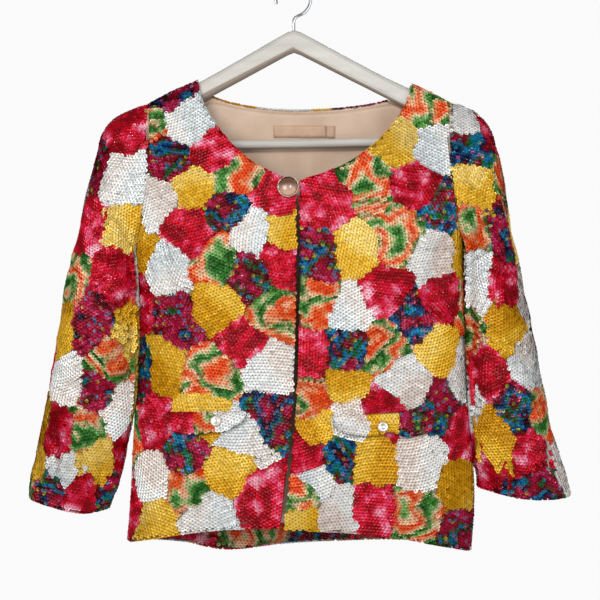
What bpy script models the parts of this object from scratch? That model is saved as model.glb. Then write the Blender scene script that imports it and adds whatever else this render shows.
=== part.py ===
"""A cropped, collarless evening jacket with three-quarter sleeves, hung on a wooden hanger.

The jacket's cloth is a thin wall cut into the maker's pieces: two fronts that meet edge to edge,
one back, two set-in sleeves, two pocket flaps, and the part of the lining that shows at the neck.
Sizes are in millimetres and each mesh is written in metres. The wearer's right side is at -X, the
front faces -Y, +Z is up, and the origin is where the rail touches the inside of the hanger's hook.
"""

import math

import bmesh
import bpy
from mathutils import Matrix, Vector

MM = 0.001
SIDES = ("right", "left")
OUTWARD = {"right": -1.0, "left": 1.0}
FACING = {"front": -1.0, "back": 1.0}

# Cloth and seams
WALL = 2.0
LINING_WALL = 1.0
LABEL_WALL = 1.0
LABEL_GAP = 0.7
SEAM_GAP = 0.4
FRONT_GAP = 5.0
LINING_GAP = 0.9
SEAT_GAP = 0.5

# How the cloth stands off the hanger's plane
SHOULDER_ROUND = 12.0
DRAPE_LENGTH = 160.0
HANG = {"front": 33.0, "back": 20.0}
FLATNESS = 0.6

# Points of the cut, from the hanger's middle line: x on the wearer's right and left
NECK_POINT_X = {"right": -121.0, "left": 150.0}
SHOULDER_POINT_X = {"right": -185.0, "left": 199.0}
NECK_LIFT = {"right": 0.0, "left": 3.5}
SHOULDER_CROWN = 2.0
FRONT_NECK_Z = -252.0
FRONT_NECK_POWER = 1.63
BACK_NECK_DROP = 33.0
BACK_NECK_POWER = 2.0
# The last stretch of each neckline wraps the hanger's arm: its share of the half-width, its curve
NECK_WRAP = 0.022
NECK_WRAP_POWER = 1.4
ARMPIT_Z = -338.0
ARMHOLE_HOLLOW = 9.0
ARMHOLE_DEPTH = {"front": 30.0, "back": 27.0}
UNDERARM_FADE = (-262.0, -430.0)
EDGE_POWER = 10

# Side seams, top to bottom: height, x on the right, x on the left
SIDE_SEAM = (
    (-338.0, -196.0, 212.0),
    (-440.0, -191.5, 215.0),
    (-500.0, -193.0, 217.0),
    (-553.0, -199.0, 221.0),
    (-605.0, -201.0, 226.0),
    (-655.0, -203.0, 228.0),
    (-708.0, -208.0, 223.0),
)

# The line where the fronts meet, top to bottom: height, x
FRONT_LINE = (
    (-252.0, 6.0),
    (-420.0, 6.0),
    (-555.0, 0.0),
    (-680.0, -13.0),
)

# The back's hem, right to left: share of the way from the right seam to the left, height
BACK_HEM = (
    (0.0, -700.0),
    (0.14, -706.0),
    (0.28, -718.0),
    (0.45, -710.0),
    (0.7, -704.0),
    (0.86, -705.0),
    (1.0, -712.0),
)
HEM_SIDE_Z = {"right": -700.0, "left": -712.0}
HEM_FRONT_Z = {"right": -677.5, "left": -680.5}
HEM_POWER = 2.2

# Soft folds in the body: panel, side, place from the middle to the side seam at the hem,
# how far the fold leans towards the middle going up, height, half-width as a share, top, bottom
BODY_FOLDS = (
    ("front", "right", 0.62, 0.10, 5.0, 0.085, -400.0, -640.0),
    ("front", "right", 0.30, 0.02, -3.0, 0.100, -470.0, -660.0),
    ("front", "left", 0.56, 0.08, 4.5, 0.080, -380.0, -620.0),
    ("front", "left", 0.80, 0.10, -4.0, 0.070, -450.0, -660.0),
    ("back", "right", 0.45, 0.06, 6.5, 0.100, -420.0, -660.0),
    ("back", "left", 0.20, -0.05, -4.0, 0.120, -300.0, -620.0),
    ("back", "left", 0.62, 0.08, 5.0, 0.090, -380.0, -640.0),
)
FOLD_FADE = 0.88

# Sleeve sections from the armhole to the cuff, each a flattened ring that leans:
# x and z of its outer edge, x and z of its inner edge, depth forward and back
SLEEVE = {
    "right": (
        (-185.0, -155.0, -196.0, -338.0, 30.0, 27.0),
        (-212.0, -163.0, -199.0, -344.0, 33.0, 31.0),
        (-232.5, -175.0, -200.0, -350.0, 37.0, 35.0),
        (-242.0, -205.0, -198.0, -362.0, 41.0, 39.0),
        (-254.0, -250.0, -196.8, -382.0, 45.0, 43.0),
        (-267.0, -305.0, -195.6, -410.0, 46.0, 45.0),
        (-282.0, -365.0, -194.8, -443.0, 45.0, 44.0),
        (-292.5, -430.0, -195.7, -480.0, 43.0, 41.0),
        (-301.5, -488.0, -198.3, -518.0, 40.0, 37.0),
        (-312.0, -535.0, -203.0, -555.0, 36.0, 34.0),
        (-319.5, -582.0, -210.0, -592.0, 32.0, 30.0),
        (-330.0, -622.0, -221.0, -630.0, 28.0, 26.0),
        (-330.0, -648.0, -231.0, -660.0, 25.0, 24.0),
    ),
    "left": (
        (199.0, -153.0, 212.0, -338.0, 30.0, 27.0),
        (226.0, -161.5, 215.5, -344.0, 33.0, 31.0),
        (244.0, -176.0, 217.0, -350.0, 37.0, 35.0),
        (255.5, -205.0, 216.0, -362.0, 41.0, 39.0),
        (265.0, -252.0, 216.5, -382.0, 45.0, 43.0),
        (273.0, -308.0, 217.3, -410.0, 46.0, 45.0),
        (285.5, -368.0, 218.3, -443.0, 46.0, 44.0),
        (299.0, -433.0, 219.8, -480.0, 44.0, 42.0),
        (309.0, -490.0, 221.8, -518.0, 41.0, 38.0),
        (318.0, -540.0, 224.5, -553.0, 37.0, 35.0),
        (331.5, -585.0, 227.8, -585.0, 33.0, 31.0),
        (342.0, -618.0, 230.6, -612.0, 29.0, 27.0),
        (349.0, -643.0, 232.5, -633.0, 26.0, 25.0),
    ),
}

# How far a cuff sags between its edges, and how much nearer its inner edge (over 1) it sags most
CUFF_SAG = {"right": (7.0, 1.6), "left": (7.0, 0.85)}
CUFF_SAG_SECTIONS = 2.5

# Creases across a sleeve: side, place down the sleeve in sections, angle from the outer edge,
# depth, length along the sleeve in sections, half-width as an angle
SLEEVE_CREASES = (
    ("right", 6.6, 150.0, -5.0, 0.35, 62.0),
    ("right", 7.5, 140.0, -4.0, 0.30, 50.0),
    ("right", 5.6, 215.0, -4.5, 0.35, 60.0),
    ("right", 10.7, 75.0, -5.0, 0.45, 24.0),
    ("left", 6.4, 148.0, -5.0, 0.35, 60.0),
    ("left", 7.4, 135.0, -4.0, 0.30, 48.0),
    ("left", 5.5, 212.0, -4.5, 0.35, 58.0),
    ("left", 8.6, 60.0, -3.5, 0.40, 40.0),
)

# Pocket flaps: x of each end, height of the top edge at each end
FLAP = {
    "right": (-153.5, -57.5, -537.0, -535.0),
    "left": (49.5, 170.0, -541.0, -535.5),
}
# Depth of each flap at even steps from its low-x end to its high-x end
FLAP_DEPTH = {
    "right": (20.0, 26.5, 26.0, 28.0, 24.0, 24.5, 19.0, 10.0),
    "left": (13.0, 24.0, 26.5, 26.5, 22.0, 30.0, 29.0, 23.0),
}
FLAP_WALL = 2.2
FLAP_GAP = 0.4
FLAP_LIFT = 5.0
FLAP_ROWS = 4

# Buttons: the big one at the neck, and one on each flap
NECK_BUTTON_AT = (-5.5, -261.5)
NECK_BUTTON_OUT = (-0.055, -0.988, 0.141)
NECK_BUTTON_SHANK = 2.6
# The metal setting turned about its axis, from its shank round its rim to its seat: radius, height
SETTING = (
    (0.0, -2.1),
    (3.2, -2.1),
    (3.2, 0.0),
    (11.1, 0.0),
    (13.1, 1.2),
    (13.5, 2.8),
    (13.2, 4.2),
    (12.6, 4.6),
    (11.9, 4.0),
    (11.9, 2.0),
    (0.0, 2.0),
)
STONE_CROWN = 8.4
STONE_STEPS = 5
# On each flap: share of the way along it, share of the way down it
FLAP_BUTTON_AT = {"right": (0.62, 0.50), "left": (0.50, 0.70)}
# A flap button turned about its axis, from the middle of its back to its crown: radius, height
FLAP_BUTTON = (
    (0.0, 0.15),
    (2.0, 0.15),
    (2.0, 1.4),
    (5.8, 1.7),
    (6.8, 2.7),
    (6.4, 3.5),
    (5.3, 3.9),
    (4.2, 3.7),
    (2.4, 4.2),
    (0.0, 4.4),
)

# Lining inside the back, from the neck edge down
LINING_EDGE = 3.0
LINING_ARM_CLEAR = 30.0
LINING_HEM = 26.0
LINING_REACH = 0.85
# Shares of the neck's half-width: where the top edge stops following it, where it starts to drop
LINING_FOLLOW = 0.985
LINING_DROP = (0.8, 1.05)
LINING_ROWS = 12
LINING_CROWDING = 1.3

# Bare neck label and size tab: x of each end, height of the top and bottom edge
LABELS = {
    "neck_label": (-24.5, 41.5, -177.0, -192.0),
    "size_tab": (42.3, 53.0, -177.5, -192.5),
}
LABEL_STEP = 10.0

# Hanger, before it tilts: the middle is at x = 0
HANGER_TILT = 0.9
# Half of an arm's rounded section, crown to side: distance from its middle plane, drop
ARM_SECTION = (
    (0.0, 0.0),
    (3.5, 1.0),
    (6.0, 3.4),
    (7.0, 7.0),
)
# One arm, middle to end: distance out, height of its top edge, height of its lower edge
ARM = (
    (0.0, -59.0, -88.0),
    (8.0, -61.5, -91.0),
    (30.0, -73.5, -102.5),
    (70.0, -96.0, -123.5),
    (115.0, -120.5, -147.0),
    (150.0, -137.5, -166.5),
    (175.0, -148.8, -184.0),
    (192.0, -156.4, -205.0),
    (206.0, -162.4, -212.0),
    (216.0, -166.6, -207.0),
    (222.0, -171.5, -196.0),
)
ARM_LONGEST_STEP = 30.0
ARM_END_THINNING = 0.35
BAR_Z = -202.0
BAR_RADIUS = 5.2
BAR_HALF_LENGTH = 203.0
HOOK_WIRE_RADIUS = 2.0
HOOK_INSIDE_RADIUS = 20.0
HOOK_STEM_BOTTOM = -76.0
HOOK_STEM_TOP = -50.0
# Where the wire bends out of its stem into the hook: x, z
HOOK_BEND = ((0.8, -45.6), (3.0, -42.9))
HOOK_START_DEG = -75
HOOK_END_DEG = 195
HOOK_STEP_DEG = 15
SOCKET_LENGTH = 60.0
FIT_GAP = 0.3

# Mesh density: turns down the armhole in degrees, closer together where the cloth rounds the arm
ARMHOLE_TURNS = (0.0, 7.0, 15.0, 30.0, 45.0, 60.0, 75.0, 90.0, 105.0, 120.0, 135.0, 150.0, 165.0, 180.0)
ARMHOLE_ROWS = len(ARMHOLE_TURNS) - 1
LOWER_ROWS = 7
NECK_COLUMNS = 7
NECK_CROWDING = 1.7
NECK_WRAP_STEPS = (0.55, 0.2)
SHOULDER_COLUMNS = 5
SLEEVE_RINGS = 13
SLEEVE_CROWDING = 1.1
HOLLOW_FADE = 2.5
ROUND_SIDES = 16
SETTING_SIDES = 24
FLAP_BUTTON_SIDES = 14

COLOURS = {
    "sequined_cloth": (0.72, 0.22, 0.18),
    "lining_satin": (0.64, 0.50, 0.38),
    "label_tape": (0.78, 0.60, 0.47),
    "painted_wood": (0.82, 0.81, 0.79),
    "steel": (0.62, 0.62, 0.63),
    "gilt_metal": (0.78, 0.62, 0.38),
    "glass_stone": (0.66, 0.55, 0.44),
    "pearl": (0.86, 0.82, 0.76),
}
ROUGHNESS = {"steel": 0.25, "gilt_metal": 0.2, "glass_stone": 0.12, "pearl": 0.25, "lining_satin": 0.4}
METALS = ("steel", "gilt_metal")


def smoothstep(share):
    share = min(max(share, 0.0), 1.0)
    return share * share * (3.0 - 2.0 * share)


def smooth_table(rows, at, column):
    """One column of a table, read smoothly at a place in its first column."""
    places = [row[0] for row in rows]
    if places[0] > places[-1]:
        rows = rows[::-1]
        places = places[::-1]
    values = [row[column] for row in rows]
    at = min(max(at, places[0]), places[-1])
    last = len(rows) - 1
    low = max(i for i in range(last) if places[i] <= at or i == 0)
    width = places[low + 1] - places[low]
    share = (at - places[low]) / width

    def slope(i):
        before = max(i - 1, 0)
        after = min(i + 1, last)
        return (values[after] - values[before]) / (places[after] - places[before])

    rise = values[low + 1] - values[low]
    ease = share * share * (3.0 - 2.0 * share)
    start = slope(low) * width * share * (1.0 - share) ** 2
    end = slope(low + 1) * width * share * share * (share - 1.0)
    return values[low] + rise * ease + start + end


def tilt(point):
    """A point of the hanger, turned with it about the hook."""
    return Matrix.Rotation(-math.radians(HANGER_TILT), 3, "Y") @ Vector(point)


def arm_top(x):
    """Height of the tilted hanger's top edge below x."""
    angle = math.radians(HANGER_TILT)
    own_x = x
    for _ in range(3):
        own_z = smooth_table(ARM, abs(own_x), 1)
        own_x = (x + own_z * math.sin(angle)) / math.cos(angle)
    return own_x * math.sin(angle) + own_z * math.cos(angle)


def shoulder_z(side, x):
    """Height of the shoulder line: the cloth lies on the hanger's arm, and lifts at the neck."""
    neck = NECK_POINT_X[side]
    point = SHOULDER_POINT_X[side]
    share = (x - neck) / (point - neck)
    if share < 0.0:
        right, left = (shoulder_z(each, NECK_POINT_X[each]) for each in SIDES)
        across = (x - NECK_POINT_X["right"]) / (NECK_POINT_X["left"] - NECK_POINT_X["right"])
        return right + (left - right) * across
    share = min(share, 1.0)
    held = neck + (point - neck) * share
    lift = NECK_LIFT[side] * (1.0 - share) ** 2 + SHOULDER_CROWN * math.sin(math.pi * share)
    return arm_top(held) + SEAT_GAP + WALL + lift


def armhole_share(side, z):
    top = shoulder_z(side, SHOULDER_POINT_X[side])
    return min(max((top - z) / (top - ARMPIT_Z), 0.0), 1.0)


def edge_x(side, z):
    """x of the panels' outer edge: the armhole, then the side seam."""
    if z <= ARMPIT_Z:
        return smooth_table(SIDE_SEAM, z, 1 + SIDES.index(side))
    share = armhole_share(side, z)
    straight = SHOULDER_POINT_X[side] * (1.0 - share) + SIDE_SEAM[0][1 + SIDES.index(side)] * share
    return straight - OUTWARD[side] * ARMHOLE_HOLLOW * math.sin(math.pi * share)


def armhole_depth(side, face, z):
    share = armhole_share(side, z)
    return ARMHOLE_DEPTH[face] * 2.0 * math.sqrt(max(share * (1.0 - share), 0.0))


def middle_x(side, face, z):
    if face == "front":
        return smooth_table(FRONT_LINE, z, 1) + OUTWARD[side] * FRONT_GAP / 2.0
    return (edge_x("right", z) + edge_x("left", z)) / 2.0


def round_arm(below):
    """How far the cloth stands from the hanger's plane where it bends over the arm."""
    share = min(below / SHOULDER_ROUND, 1.0)
    return SHOULDER_ROUND * math.sqrt(1.0 - (1.0 - share) ** 2)


def panel_depth(side, face, across, x, z):
    """Depth of a panel: full at its middle, and at its side the armhole's own, closing below it."""
    below = max(shoulder_z(side, x) - z, 0.0)
    arm = round_arm(below)
    middle = arm + HANG[face] * smoothstep(below / DRAPE_LENGTH)
    top = shoulder_z(side, SHOULDER_POINT_X[side])
    start, end = UNDERARM_FADE
    opened = smoothstep((top - z) / (top - start))
    closed = smoothstep((start - z) / (start - end))
    soft = (arm + (ARMHOLE_DEPTH[face] - SHOULDER_ROUND) * opened) * (1.0 - closed)
    edge = soft + (armhole_depth(side, face, z) - soft) * across**EDGE_POWER
    full = max(math.cos(across * math.pi / 2.0), 0.0) ** FLATNESS
    return middle * full + edge * (1.0 - full)


def fold_height(side, face, across, z):
    total = 0.0
    for fold_face, fold_side, place, lean, height, width, top, bottom in BODY_FOLDS:
        if (fold_face, fold_side) != (face, side):
            continue
        down = (top - z) / (top - bottom)
        at = place - lean * (1.0 - min(max(down, 0.0), 1.0))
        total += height * smoothstep(down) * math.exp(-(((across - at) / width) ** 2))
    return total * (1.0 - smoothstep((across - FOLD_FADE) / (1.0 - FOLD_FADE)))


def body_point(side, face, across, z):
    """A point on a front or back panel's outside; across is 0 at the middle, 1 at the edge."""
    middle = middle_x(side, face, z)
    x = middle + (edge_x(side, z) - middle) * math.sin(across * math.pi / 2.0)
    depth = panel_depth(side, face, across, x, z) + fold_height(side, face, across, z)
    depth += SEAM_GAP / 2.0
    return Vector((x, FACING[face] * depth, z))


def body_normal(side, face, across, z):
    step = 0.004
    drop = 1.0
    low = max(across - step, 0.0)
    high = min(across + step, 1.0)
    along = body_point(side, face, high, z) - body_point(side, face, low, z)
    down = body_point(side, face, across, z - drop) - body_point(side, face, across, z)
    normal = along.cross(down).normalized()
    return -normal if normal.y * FACING[face] < 0 else normal


def neck_share(side, face):
    """How far across the panel its neck point is."""
    x = NECK_POINT_X[side]
    z = shoulder_z(side, x)
    middle = middle_x(side, face, z)
    return math.asin((x - middle) / (edge_x(side, z) - middle)) * 2.0 / math.pi


def top_z(side, face, across):
    """Height of a panel's top edge: the neckline, then the shoulder seam."""
    level = shoulder_z(side, NECK_POINT_X[side])
    middle = middle_x(side, face, level)
    x = middle + (edge_x(side, level) - middle) * math.sin(across * math.pi / 2.0)
    if across >= neck_share(side, face):
        return shoulder_z(side, x)
    out = (x - middle) / (NECK_POINT_X[side] - middle)
    if face == "front":
        drop = level - FRONT_NECK_Z
        power = FRONT_NECK_POWER
    else:
        both = sum(shoulder_z(each, NECK_POINT_X[each]) for each in SIDES) / 2.0
        drop = BACK_NECK_DROP + level - both
        power = BACK_NECK_POWER
    wrap = min((1.0 - out) / NECK_WRAP, 1.0)
    out = min(out, 1.0 - NECK_WRAP)
    return level - drop * (1.0 - out**power) ** (1.0 / power) * wrap**NECK_WRAP_POWER


def hem_z(side, face, across):
    if face == "front":
        rise = HEM_SIDE_Z[side] - HEM_FRONT_Z[side]
        return HEM_FRONT_Z[side] + rise * math.sin(across * math.pi / 2.0) ** HEM_POWER
    place = 0.5 + 0.5 * OUTWARD[side] * math.sin(across * math.pi / 2.0)
    return smooth_table(BACK_HEM, place, 1)


def columns(side, face, wrapped=True):
    """How far across each column of a panel is; wrapped adds those where the neck edge wraps."""
    neck = neck_share(side, face)
    reach = math.sin(neck * math.pi / 2.0)

    def at_neck(out):
        return math.asin(out * reach) * 2.0 / math.pi

    for i in range(NECK_COLUMNS + 1):
        yield at_neck(1.0 - NECK_WRAP) * (1.0 - (1.0 - i / NECK_COLUMNS) ** NECK_CROWDING)
    for step in NECK_WRAP_STEPS if wrapped else ():
        yield at_neck(1.0 - NECK_WRAP * step)
    for i in range(SHOULDER_COLUMNS + 1):
        yield neck + (1.0 - neck) * i / SHOULDER_COLUMNS


def heights(top, hem):
    for turn in ARMHOLE_TURNS:
        share = (1.0 - math.cos(math.radians(turn))) / 2.0
        yield top + (ARMPIT_Z - top) * share
    for i in range(1, LOWER_ROWS + 1):
        yield ARMPIT_Z + (hem - ARMPIT_Z) * i / LOWER_ROWS


def ring_normal(side, face, share):
    """Outward direction of the armhole's own loop, square to x so that its seam faces match."""
    half_height = (shoulder_z(side, SHOULDER_POINT_X[side]) - ARMPIT_Z) / 2.0
    angle = math.acos(1.0 - 2.0 * share)
    forward = math.sin(angle) / ARMHOLE_DEPTH[face]
    return Vector((0.0, FACING[face] * forward, math.cos(angle) / half_height)).normalized()


def inward(side, face, across, z, row):
    """From a panel's outside to its inside, kept in the seam's plane along every seam."""
    if across > 1.0 - 1e-6:
        if row >= ARMHOLE_ROWS:
            return Vector((-OUTWARD[side], 0.0, 0.0))
        return -ring_normal(side, face, armhole_share(side, z))
    if row == 0 and across > neck_share(side, face) - 1e-6:
        return Vector((0.0, 0.0, -1.0))
    return -body_normal(side, face, across, z)


def panel_grid(side, face):
    """Outer and inner points of half a panel: a list of columns, each from the top to the hem."""
    outer = []
    inner = []
    for across in columns(side, face):
        top = top_z(side, face, across)
        outside = []
        inside = []
        for row, z in enumerate(heights(top, hem_z(side, face, across))):
            point = body_point(side, face, across, z)
            outside.append(point)
            inside.append(point + inward(side, face, across, z, row) * WALL)
        outer.append(outside)
        inner.append(inside)
    return outer, inner


def add_object(name, vertices, faces, material, smooth_angle=40.0):
    mesh = bpy.data.meshes.new(name)
    mesh.from_pydata([tuple(v * MM for v in point) for point in vertices], [], faces)
    work = bmesh.new()
    work.from_mesh(mesh)
    bmesh.ops.recalc_face_normals(work, faces=work.faces)
    if work.calc_volume(signed=True) < 0:
        bmesh.ops.reverse_faces(work, faces=work.faces)
    work.to_mesh(mesh)
    work.free()
    mesh.shade_smooth()
    mesh.set_sharp_from_angle(angle=math.radians(smooth_angle))
    mesh.materials.append(material)
    piece = bpy.data.objects.new(name, mesh)
    bpy.context.collection.objects.link(piece)
    return piece


def add_wall(name, outer, inner, material, closed=False):
    """A closed wall from two matching grids of points; closed joins the last column to the first."""
    count = len(outer)
    rows = len(outer[0])
    vertices = [point for column in outer for point in column]
    vertices += [point for column in inner for point in column]
    shift = count * rows
    faces = []
    last = count if closed else count - 1
    for i in range(last):
        j = (i + 1) % count
        for k in range(rows - 1):
            a = i * rows + k
            b = j * rows + k
            faces.append((a, b, b + 1, a + 1))
            faces.append((shift + a, shift + a + 1, shift + b + 1, shift + b))
        for k in (0, rows - 1):
            faces.append((i * rows + k, j * rows + k, shift + j * rows + k, shift + i * rows + k))
    if not closed:
        for i in (0, count - 1):
            for k in range(rows - 1):
                a = i * rows + k
                faces.append((a, a + 1, shift + a + 1, shift + a))
    return add_object(name, vertices, faces, material)


def make_fronts(materials):
    for side in SIDES:
        outer, inner = panel_grid(side, "front")
        add_wall(f"front_{side}", outer, inner, materials["sequined_cloth"])


def make_back(materials):
    right_outer, right_inner = panel_grid("right", "back")
    left_outer, left_inner = panel_grid("left", "back")
    outer = right_outer[::-1] + left_outer[1:]
    inner = right_inner[::-1] + left_inner[1:]
    add_wall("back", outer, inner, materials["sequined_cloth"])


def sleeve_section(side, place, column):
    rows = [(float(i),) + row for i, row in enumerate(SLEEVE[side])]
    return smooth_table(rows, place, 1 + column)


def sleeve_point(side, place, angle):
    """A point on a sleeve; place counts sections, angle runs from the outer edge by the front."""
    outer = Vector((sleeve_section(side, place, 0), 0.0, sleeve_section(side, place, 1)))
    inner = Vector((sleeve_section(side, place, 2), 0.0, sleeve_section(side, place, 3)))
    share = (1.0 - math.cos(angle)) / 2.0
    point = outer.lerp(inner, share)
    face = "front" if math.sin(angle) >= 0 else "back"
    depth = sleeve_section(side, place, 4 if face == "front" else 5)
    point.y = FACING[face] * depth * abs(math.sin(angle))
    hollow = ARMHOLE_HOLLOW * (1.0 - smoothstep(place / HOLLOW_FADE))
    point.x -= OUTWARD[side] * hollow * math.sin(math.pi * share)
    sag, lean = CUFF_SAG[side]
    from_cuff = len(SLEEVE[side]) - 1.0 - place
    near_cuff = smoothstep(1.0 - from_cuff / CUFF_SAG_SECTIONS)
    point.z -= sag * near_cuff * math.sin(math.pi * share**lean)
    return point


def sleeve_normal(side, place, angle):
    turn = 0.03
    step = 0.05
    last = len(SLEEVE[side]) - 1.0
    round_it = sleeve_point(side, place, angle + turn) - sleeve_point(side, place, angle - turn)
    low = max(place - step, 0.0)
    high = min(place + step, last)
    down = sleeve_point(side, high, angle) - sleeve_point(side, low, angle)
    return (round_it.cross(down) * OUTWARD[side]).normalized()


def crease_depth(side, place, angle):
    total = 0.0
    degrees = math.degrees(angle)
    for crease_side, at, middle, depth, length, width in SLEEVE_CREASES:
        if crease_side == side:
            along = (place - at) / length
            away = (degrees - middle) / width
            total += depth * math.exp(-along * along - away * away)
    return total


def make_sleeve(side, materials):
    last = len(SLEEVE[side]) - 1.0
    turns = ARMHOLE_TURNS + tuple(360.0 - turn for turn in ARMHOLE_TURNS[-2:0:-1])
    armhole_top = shoulder_z(side, SHOULDER_POINT_X[side])
    outer = []
    inner = []
    for turn in turns:
        angle = math.radians(turn)
        share = (1.0 - math.cos(angle)) / 2.0
        face = "front" if turn <= 180.0 else "back"
        z = armhole_top + (ARMPIT_Z - armhole_top) * share
        start = Vector((edge_x(side, z), FACING[face] * armhole_depth(side, face, z), z))
        start.x += OUTWARD[side] * SEAM_GAP
        outside = [start]
        inside = [start - ring_normal(side, face, share) * WALL]
        for ring in range(1, SLEEVE_RINGS + 1):
            place = last * (ring / SLEEVE_RINGS) ** SLEEVE_CROWDING
            normal = sleeve_normal(side, place, angle)
            point = sleeve_point(side, place, angle) + normal * crease_depth(side, place, angle)
            outside.append(point)
            inside.append(point - normal * WALL)
        outer.append(outside)
        inner.append(inside)
    add_wall(f"sleeve_{side}", outer, inner, materials["sequined_cloth"], closed=True)


def across_at(side, face, x, z):
    middle = middle_x(side, face, z)
    share = min(max((x - middle) / (edge_x(side, z) - middle), 0.0), 1.0)
    return math.asin(share) * 2.0 / math.pi


def on_panel(side, face, x, z, out):
    """The point out from a panel's outside face, at this x and height; out is less than 0 inside."""
    across = across_at(side, face, x, z)
    return body_point(side, face, across, z) + body_normal(side, face, across, z) * out


def flap_point(side, share, down, out):
    """A point of a flap: share along it, down from its top edge, out from its inside face."""
    low_x, high_x, low_top, high_top = FLAP[side]
    depths = [(float(i), depth) for i, depth in enumerate(FLAP_DEPTH[side])]
    depth = smooth_table(depths, share * (len(depths) - 1), 1)
    x = low_x + (high_x - low_x) * share
    z = low_top + (high_top - low_top) * share - depth * down
    return on_panel(side, "front", x, z, FLAP_GAP + FLAP_LIFT * down * down + out)


def make_flap(side, materials):
    steps = 2 * (len(FLAP_DEPTH[side]) - 1)
    downs = [k / FLAP_ROWS for k in range(FLAP_ROWS + 1)]
    outer = []
    inner = []
    for i in range(steps + 1):
        share = i / steps
        outer.append([flap_point(side, share, down, FLAP_WALL) for down in downs])
        inner.append([flap_point(side, share, down, 0.0) for down in downs])
    add_wall(f"pocket_flap_{side}", outer, inner, materials["sequined_cloth"])


def add_turned(name, profile, place, axis, material, sides):
    """A solid turned about its own axis; the profile goes from the back's middle to the front's."""
    turn = Vector((0.0, 0.0, 1.0)).rotation_difference(Vector(axis).normalized())
    vertices = []
    rings = []
    for radius, height in profile:
        if radius < 1e-6:
            rings.append([len(vertices)])
            vertices.append(place + turn @ Vector((0.0, 0.0, height)))
            continue
        rings.append(list(range(len(vertices), len(vertices) + sides)))
        for i in range(sides):
            angle = 2.0 * math.pi * i / sides
            spoke = Vector((radius * math.cos(angle), radius * math.sin(angle), height))
            vertices.append(place + turn @ spoke)
    faces = []
    for low, high in zip(rings, rings[1:]):
        for i in range(sides):
            j = (i + 1) % sides
            if len(low) == 1:
                faces.append((low[0], high[j], high[i]))
            elif len(high) == 1:
                faces.append((low[i], low[j], high[0]))
            else:
                faces.append((low[i], low[j], high[j], high[i]))
    return add_object(name, vertices, faces, material)


def dome(radius, base, height, steps):
    """Profile of a low dome: its flat back, its edge, then up to its crown."""
    profile = [(0.0, base), (radius, base)]
    for i in range(1, steps + 1):
        angle = math.pi / 2.0 * i / steps
        rise = base + (height - base) * math.sin(angle)
        profile.append((max(radius * math.cos(angle), 0.0), rise))
    return profile


def make_neck_button(materials):
    """A glass stone in a thin metal setting, sewn at the top corner of the right front."""
    x, z = NECK_BUTTON_AT
    out = Vector(NECK_BUTTON_OUT).normalized()
    place = on_panel("right", "front", x, z, 0.0) + out * (NECK_BUTTON_SHANK + SEAT_GAP)
    add_turned("neck_button_setting", SETTING, place, out, materials["gilt_metal"], SETTING_SIDES)
    seat_radius, seat = SETTING[-2]
    stone = dome(seat_radius - FIT_GAP, seat + FIT_GAP, STONE_CROWN, STONE_STEPS)
    add_turned("neck_button_stone", stone, place, out, materials["glass_stone"], SETTING_SIDES)


def make_flap_button(side, materials):
    share, down = FLAP_BUTTON_AT[side]
    along = flap_point(side, share + 0.02, down, 0.0) - flap_point(side, share - 0.02, down, 0.0)
    fall = flap_point(side, share, down + 0.1, 0.0) - flap_point(side, share, down - 0.1, 0.0)
    out = fall.cross(along).normalized()
    place = flap_point(side, share, down, FLAP_WALL) + out * SEAT_GAP
    name = f"pocket_button_{side}"
    add_turned(name, FLAP_BUTTON, place, out, materials["pearl"], FLAP_BUTTON_SIDES)


def lining_top(side, across):
    """The lining's top edge: just inside the neckline, and clear of the hanger's arm beyond it."""
    neck = neck_share(side, "back")
    edge = top_z(side, "back", min(across, neck * LINING_FOLLOW)) - LINING_EDGE
    start, end = LINING_DROP
    beyond = smoothstep((across / neck - start) / (end - start))
    return edge - LINING_ARM_CLEAR * beyond


def make_lining(materials):
    """The back's lining, hung just inside its cloth."""
    places = [("right", across) for across in columns("right", "back", wrapped=False)][:0:-1]
    places += [("left", across) for across in columns("left", "back", wrapped=False)]
    outer = []
    inner = []
    for side, across in places:
        if across > LINING_REACH:
            continue
        top = lining_top(side, across)
        bottom = hem_z(side, "back", across) + LINING_HEM
        outside = []
        inside = []
        for k in range(LINING_ROWS + 1):
            z = top + (bottom - top) * (k / LINING_ROWS) ** LINING_CROWDING
            normal = body_normal(side, "back", across, z)
            point = body_point(side, "back", across, z) - normal * (WALL + LINING_GAP)
            outside.append(point)
            inside.append(point - normal * LINING_WALL)
        outer.append(outside)
        inner.append(inside)
    add_wall("back_lining", outer, inner, materials["lining_satin"])


def make_label(name, materials):
    low_x, high_x, top, bottom = LABELS[name]
    behind = WALL + LINING_GAP + LINING_WALL + LABEL_GAP
    steps = max(1, round((high_x - low_x) / LABEL_STEP))
    outer = []
    inner = []
    for i in range(steps + 1):
        x = low_x + (high_x - low_x) * i / steps
        side = "right" if x < middle_x("left", "back", top) else "left"
        outer.append([on_panel(side, "back", x, z, -behind) for z in (top, bottom)])
        inner.append([on_panel(side, "back", x, z, -behind - LABEL_WALL) for z in (top, bottom)])
    add_wall(name, outer, inner, materials["label_tape"])


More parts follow.
